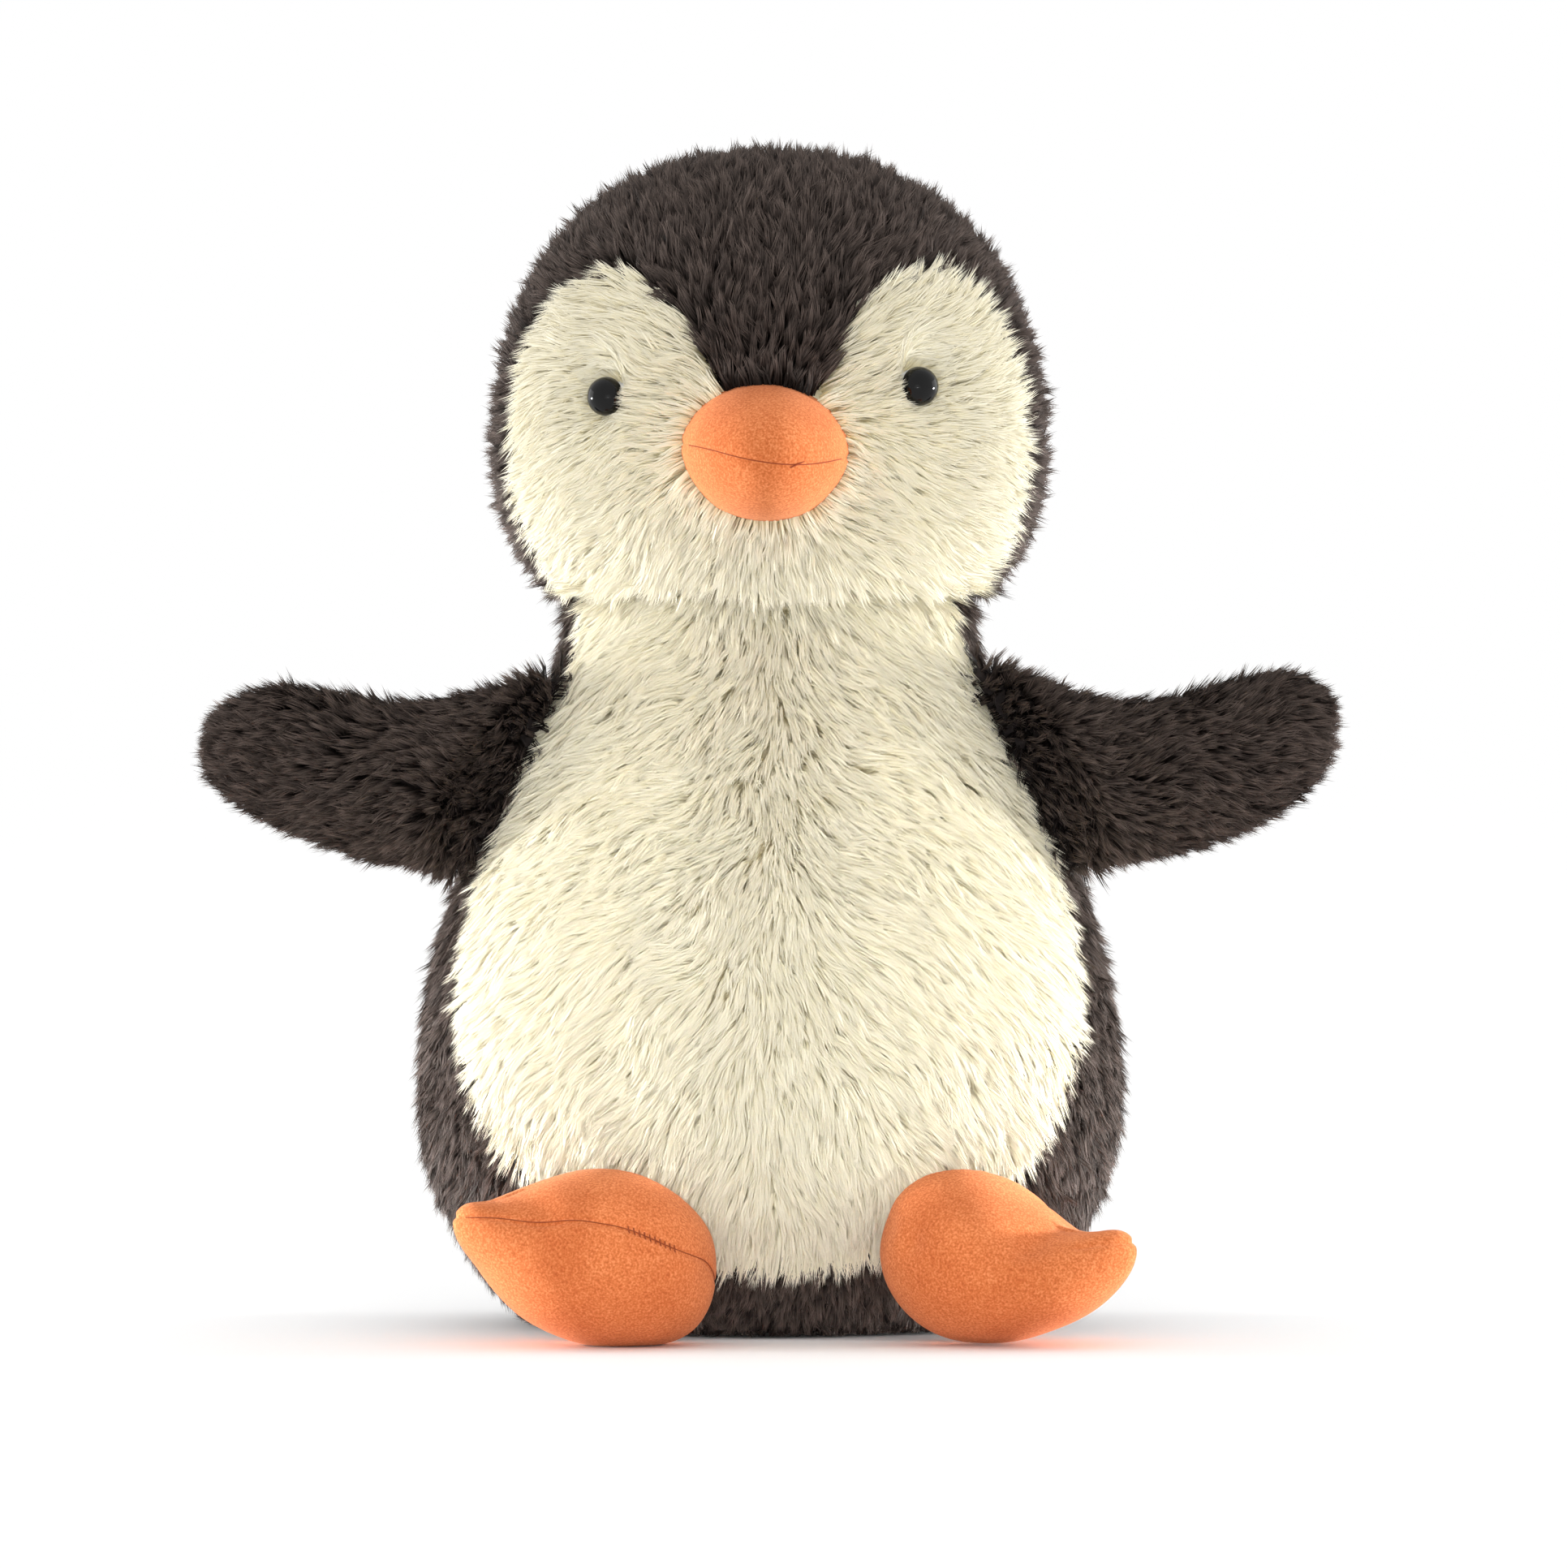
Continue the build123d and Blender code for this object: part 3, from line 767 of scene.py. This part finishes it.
def strand_mesh(name, root, middle, tip, facing, roll, tones, material):
    """Every strand as a thin blade with one bend, flat to the skin but turned a little about its length."""
    count = len(root)
    along = unit(tip - root)
    across = unit(np.cross(along, facing))
    roll = roll[:, None]
    width = STRAND_HALF_WIDTH * (across * np.cos(roll) + np.cross(across, along) * np.sin(roll))
    vertices = np.stack([root - width, root + width, middle + width, middle - width, tip], axis=1)
    number = np.arange(count)[:, None]
    mesh = bpy.data.meshes.new(name)
    mesh.vertices.add(BLADE_POINTS * count)
    mesh.vertices.foreach_set("co", flat(vertices))
    mesh.loops.add(len(BLADE_CORNERS) * count)
    mesh.loops.foreach_set("vertex_index", flat(BLADE_CORNERS + BLADE_POINTS * number, np.int32))
    mesh.polygons.add(len(BLADE_FACE_STARTS) * count)
    mesh.polygons.foreach_set("loop_start", flat(BLADE_FACE_STARTS + len(BLADE_CORNERS) * number, np.int32))
    uv = mesh.uv_layers.new(name=STRAND_MAP)
    coords = np.stack([np.repeat(tones, len(BLADE_CORNERS)), np.tile(BLADE_LEVELS, count)], axis=1)
    uv.data.foreach_set("uv", flat(coords))
    mesh.update(calc_edges=True)
    mesh.shade_smooth()
    mesh.materials.append(material)
    return placed(name, mesh)


def part_round_eyes(points, eyes):
    """Pushes pile out of the way of the eyes, further the higher it stands."""
    for centre, axis, radius in eyes:
        offset = points - centre
        along = (offset @ axis)[:, None]
        across = offset - along * axis
        gap = np.linalg.norm(across, axis=1, keepdims=True)
        clear = radius + EYE_PARTING_SLOPE * np.maximum(along, 0)
        inside = (gap < clear) & (along > -EYE_REACH_BEHIND) & (along < EYE_REACH)
        points = np.where(inside, centre + along * axis + unit(across) * clear, points)
    return points


def stop_at_eyes(starts, ends, eyes):
    """Shortens the strands that would reach across an eye."""
    for centre, axis, radius in eyes:
        offset = starts - centre
        across = offset - (offset @ axis)[:, None] * axis
        step = ends - starts
        step = step - (step @ axis)[:, None] * axis
        share = np.clip(-(across * step).sum(axis=1) / np.maximum((step ** 2).sum(axis=1), 1e-12), 0, 1)
        nearest = np.linalg.norm(across + share[:, None] * step, axis=1)
        crosses = (nearest < EYE_CROSSING * radius) & (np.abs(offset @ axis) < EYE_REACH)
        ends = np.where(crosses[:, None], starts + EYE_STUB * (ends - starts), ends)
    return ends


def seat_share(points, normals):
    """How much each point belongs to the flat of the seat, from 0 to 1."""
    facing_down = np.clip((-normals[:, 2] - SEAT_FACING) / SEAT_FACING_RANGE, 0, 1)
    return facing_down * (points[:, 2] < SEAT_HEIGHT)


def skin_depths(points, normals, depth, special):
    """How far the backing lies below the surface: less under the seat and at a special place."""
    depths = depth + (SEAT_SKIN_DEPTH - depth) * seat_share(points, normals)
    if special is not None:
        share, depth_there = special
        depths += (depth_there - depths) * share(points, normals)
    return depths


def grow_fur(surface, panels, body, seed, depth=SKIN_DEPTH, special=None, keep=None, eyes=(), stand=None,
             stretch=None):
    """Grows pile on a surface.

    Each clump flows as the panel that it stands on, and has the colour of the panel under its tips.
    """
    rng = np.random.default_rng(seed)
    points, normals = spread_points(surface.data, CLUMP_SPACING, rng)
    if keep is not None:
        kept = keep(points, normals)
        points, normals = points[kept], normals[kept]
    labels = nearest_panel(points, list(panels))
    flows = np.empty_like(points)
    for index, (flow, _, _) in enumerate(panels.values()):
        here = labels == index
        flows[here] = flow(points[here])
    tangents = along_skin(flows, normals)
    labels = nearest_panel(points + OVERHANG * tangents, list(panels))
    slots = [slot for _, _, slot in panels.values()]
    unruly = np.array([UNRULY[slot] for slot in slots])[labels]
    gather = np.array([GATHER[slot] for slot in slots])[labels]
    standing = stand(points) if stand is not None else SEAT_LIE * seat_share(points, normals)
    lengths = PILE_LENGTH * (stretch(points) if stretch is not None else np.ones(len(points)))
    roots = points - skin_depths(points, normals, depth, special)[:, None] * normals
    root, middle, tip = strand_points(roots, normals, tangents, standing, unruly, gather, lengths, rng)
    middle = part_round_eyes(middle, eyes)
    tip = stop_at_eyes(middle, part_round_eyes(tip, eyes), eyes)
    for layer in (root, middle, tip):
        layer[:, 2] = np.maximum(layer[:, 2], PILE_FLOOR_GAP)
    facing = np.repeat(normals, STRANDS_PER_CLUMP, axis=0)
    roll = rng.normal(0, STRAND_ROLL, len(root))
    clump_tone = np.repeat(rng.random(len(points)), STRANDS_PER_CLUMP)
    tones = CLUMP_TONE_SHARE * clump_tone + (1 - CLUMP_TONE_SHARE) * rng.random(len(clump_tone))
    strand_labels = np.repeat(labels, STRANDS_PER_CLUMP)
    batch = MAX_PIECE_TRIANGLES // TRIANGLES_PER_STRAND
    for index, (panel, (_, material, slot)) in enumerate(panels.items()):
        mine = np.flatnonzero(strand_labels == index)
        for part, start in enumerate(range(0, len(mine), batch)):
            take = mine[start:start + batch]
            piece = strand_mesh(f"{panel}_pile_{part + 1}", root[take], middle[take], tip[take], facing[take],
                                roll[take], tones[take], material)
            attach(piece, body)
            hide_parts(panel)


def skin_from(name, surface, panels, body, depth=SKIN_DEPTH, special=None):
    """The backing cloth: the surface moved inward, each face in the colour of its panel."""
    mesh = surface.data.copy()
    outer, normals = coordinates(mesh), vertex_normals(mesh)
    points = outer - skin_depths(outer, normals, depth, special)[:, None] * normals
    set_coordinates(mesh, points)
    obj = placed(name, mesh)
    give_materials(mesh, dark_backing, cream_backing)
    labels = nearest_panel(outer, list(panels))
    cream = np.array([slot == "cream_fur" for _, _, slot in panels.values()])[labels]
    first = np.array([polygon.vertices[0] for polygon in mesh.polygons])
    mesh.polygons.foreach_set("material_index", flat(cream[first], np.int32))
    mesh.update()
    mesh.shade_smooth()
    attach(obj, body)
    return obj


# --- Head ---
head_panels = {
    "hood_left": (hood_flow, dark_fur, "dark_fur"),
    "hood_right": (hood_flow, dark_fur, "dark_fur"),
    "face_left": (face_flow, cream_fur, "cream_fur"),
    "face_right": (face_flow, cream_fur, "cream_fur"),
}
HEAD_NODES = ["hood_left", "hood_right", "face_left", "face_right", "head_fill"]
head_surface = remeshed("head_surface", HEAD_NODES, SKIN_VOXEL, SKIN_SMOOTHING, extra=[beak])
eyes = []
for side in SIDES:
    middle = box_middle(f"eye_{side}")
    axis = unit(middle - box_middle(f"eye_washer_{side}"))
    reach = ((coordinates(nodes[f"eye_{side}"].data) - middle) @ axis).max()
    eyes.append((middle + (reach - EYE_DOME_HEIGHT) * axis, axis, EYE_CLEARANCE))

ball_radius = np.linalg.norm(coordinates(nodes["neck_fill"].data) - neck_pivot, axis=1).max()
cloth_tree = tree_of([nodes[name] for name in head_panels])
eye_tree = tree_of([nodes["eye_left"], nodes["eye_right"]])
rim_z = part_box("face_right")[0].z


def keep_on_head(points, normals):
    """Leaves out the neck socket, the beak and the places under the eyes."""
    outside = np.linalg.norm(points - neck_pivot, axis=1) > ball_radius + NECK_CLEARANCE
    off_beak = (heights_above(beak_tree, points) > BEAK_GAP) & (distances(cloth_tree, points) < CLOTH_GAP)
    return outside & off_beak & (distances(eye_tree, points) > EYE_GAP)


def stand_on_head(points):
    """Close to the beak the pile stands up a little against it."""
    return BEAK_STAND * np.exp(-distances(beak_tree, points) / BEAK_NEAR)


def stretch_on_head(points):
    """The pile is longer at the lower rim, over the neck, and shorter beside the beak and eyes."""
    at_rim = np.exp(-((points[:, 2] - rim_z) / RIM_NEAR) ** 2)
    beside_beak = nearness(beak_tree, points, BEAK_NEAR)
    beside_eye = nearness(eye_tree, points, EYE_NEAR)
    return 1 + RIM_LONGER * at_rim - BEAK_SHORTER * beside_beak - EYE_SHORTER * beside_eye


def beak_side_share(points, normals):
    """How much a point belongs to the beak's edge, from 0 to 1."""
    return nearness(beak_tree, points, BEAK_NEAR)


beak_side = (beak_side_share, BEAK_SIDE_DEPTH)
grow_fur(head_surface, head_panels, "head", HEAD_SEED, special=beak_side, keep=keep_on_head, eyes=eyes,
         stand=stand_on_head, stretch=stretch_on_head)
head_skin = skin_from("head_skin", head_surface, head_panels, "head", special=beak_side)
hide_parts("head_fill")

# --- Torso ---
torso_panels = {
    "back_left": (back_flow, dark_fur, "dark_fur"),
    "back_right": (back_flow, dark_fur, "dark_fur"),
    "belly_left": (belly_flow, cream_fur, "cream_fur"),
    "belly_right": (belly_flow, cream_fur, "cream_fur"),
    "base_panel": (base_flow, dark_fur, "dark_fur"),
}
TORSO_NODES = ["belly_left", "belly_right", "back_left", "back_right", "base_panel", "torso_fill",
               "neck_fill", "pellet_pouch", "pellets"]
torso_surface = remeshed("torso_surface", TORSO_NODES, SKIN_VOXEL, SKIN_SMOOTHING)


def keep_on_torso(points, normals):
    """Leaves out the top of the neck ball, deep inside the head, and thins the pile under the seat."""
    chosen = np.arange(len(points)) % SEAT_THINNING == 0
    thinned = (seat_share(points, normals) < SEAT_FLAT) | chosen
    return (points[:, 2] < rim_z + TORSO_TOP) & thinned


def stretch_on_torso(points):
    """The pile is shorter at the edge of the seat."""
    return 1 - (1 - EDGE_PILE) * np.exp(-(points[:, 2] / EDGE_HEIGHT) ** 2)


grow_fur(torso_surface, torso_panels, "torso", TORSO_SEED, keep=keep_on_torso, stretch=stretch_on_torso)
torso_skin = skin_from("torso_skin", torso_surface, torso_panels, "torso")
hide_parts("torso_fill", "neck_fill", "pellet_pouch", "pellets")

# --- Flippers ---
torso_tree = tree_of([nodes[name] for name in torso_panels])


def root_of_flipper(side):
    """How much a point belongs to the face of a flipper that is sewn to the torso."""
    inward = 1 if side == "left" else -1

    def share(points, normals):
        near = np.clip(1 - (distances(torso_tree, points) - ROOT_NEAR) / ROOT_REACH, 0, 1)
        return near * np.clip(ROOT_FACING * inward * normals[:, 0] - ROOT_FACING_START, 0, 1)

    return share


def stretch_on_flipper(points):
    """The flippers' pile is a little shorter."""
    return np.full(len(points), FLIPPER_PILE)


for side in SIDES:
    flow = flipper_flow(side)
    panels = {
        f"flipper_{side}_front": (flow, dark_fur, "dark_fur"),
        f"flipper_{side}_back": (flow, dark_fur, "dark_fur"),
    }
    body = f"flipper_{side}"
    surface = remeshed(f"{body}_surface", [*panels, f"{body}_fill"], FLIPPER_VOXEL, FLIPPER_SMOOTHING)
    root = (root_of_flipper(side), FLIPPER_ROOT_DEPTH)
    seed = FLIPPER_SEEDS[side]
    grow_fur(surface, panels, body, seed, FLIPPER_SKIN_DEPTH, root, stretch=stretch_on_flipper)
    skin = skin_from(f"{body}_skin", surface, panels, body, FLIPPER_SKIN_DEPTH, root)
    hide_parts(f"{body}_fill")
    bpy.data.objects.remove(surface)
for surface in (head_surface, torso_surface):
    bpy.data.objects.remove(surface)


# === Eyes ==================================================================================================
def plastic(name, colour, roughness, specular):
    """Moulded plastic, with the faint ripple of its mould."""
    return speckled(*new_material(name, roughness, specular), colour,
                    scale=120, spread=0.15, relief=0.01 * MM)


eye_plastic = plastic("eye_plastic", (0.004, 0.004, 0.004), roughness=0.07, specular=0.22)
washer_plastic = plastic("washer_plastic", (0.8, 0.8, 0.78), roughness=0.4, specular=0.5)
for side in SIDES:
    give_materials(nodes[f"eye_{side}"].data, eye_plastic)
    give_materials(nodes[f"eye_washer_{side}"].data, washer_plastic)


# === Floor, lights, camera =================================================================================
def make_floor():
    """A plain pale floor."""
    half = FLOOR_HALF_SIZE
    corners = [(-half, -half, 0), (half, -half, 0), (half, half, 0), (-half, half, 0)]
    floor = new_object("floor", corners, [(0, 1, 2, 3)])
    material, _, shader = new_material("floor_white", 1.0, 0.0)
    shader.inputs["Base Color"].default_value = (1.0, 1.0, 1.0, 1)
    give_materials(floor.data, material)


def aimed(obj, place, aim):
    """Puts a light or a camera in its place and turns it to a point."""
    obj.location = place
    obj.rotation_euler = (Vector(aim) - Vector(place)).to_track_quat("-Z", "Y").to_euler()
    return obj


def area_light(name, place, aim_height, size, power, shape, spread):
    """A soft light, aimed at a point in the toy's middle. A narrow one has a spread in degrees."""
    data = bpy.data.lights.new(name, "AREA")
    data.shape = shape
    data.size = size
    data.energy = power
    if spread is not None:
        data.spread = math.radians(spread)
    aimed(placed(name, data), place, (0, 0, aim_height))


def make_camera():
    """A long lens, a little above the toy's middle, looking slightly down."""
    aim = Vector((VIEW_CENTRE_X, axis_y, VIEW_CENTRE_Z))
    place = aim + VIEW_DISTANCE * Vector((0, -math.cos(VIEW_ELEVATION), math.sin(VIEW_ELEVATION)))
    data = bpy.data.cameras.new("camera")
    data.sensor_width = SENSOR
    data.lens = SENSOR * VIEW_DISTANCE / VIEW_WIDTH
    bpy.context.scene.camera = aimed(placed("camera", data), place, aim)


def make_lights():
    """A white studio: pale surroundings, large soft lights, and narrow low ones for the belly and hips."""
    world = bpy.data.worlds.new("studio")
    world.use_nodes = True
    background = world.node_tree.nodes["Background"]
    background.inputs["Color"].default_value = (1, 1, 1, 1)
    background.inputs["Strength"].default_value = 1.0
    bpy.context.scene.world = world
    for settings in FRONT_LIGHTS:
        area_light(*settings)
    for sign, side in zip((-1, 1), SIDES):
        for name, (x, y, z), *settings in SIDE_LIGHTS:
            area_light(f"{name}_{side}", (sign * x, y, z), *settings)


make_floor()
make_lights()
make_camera()
bpy.context.scene.view_settings.view_transform = "Standard"
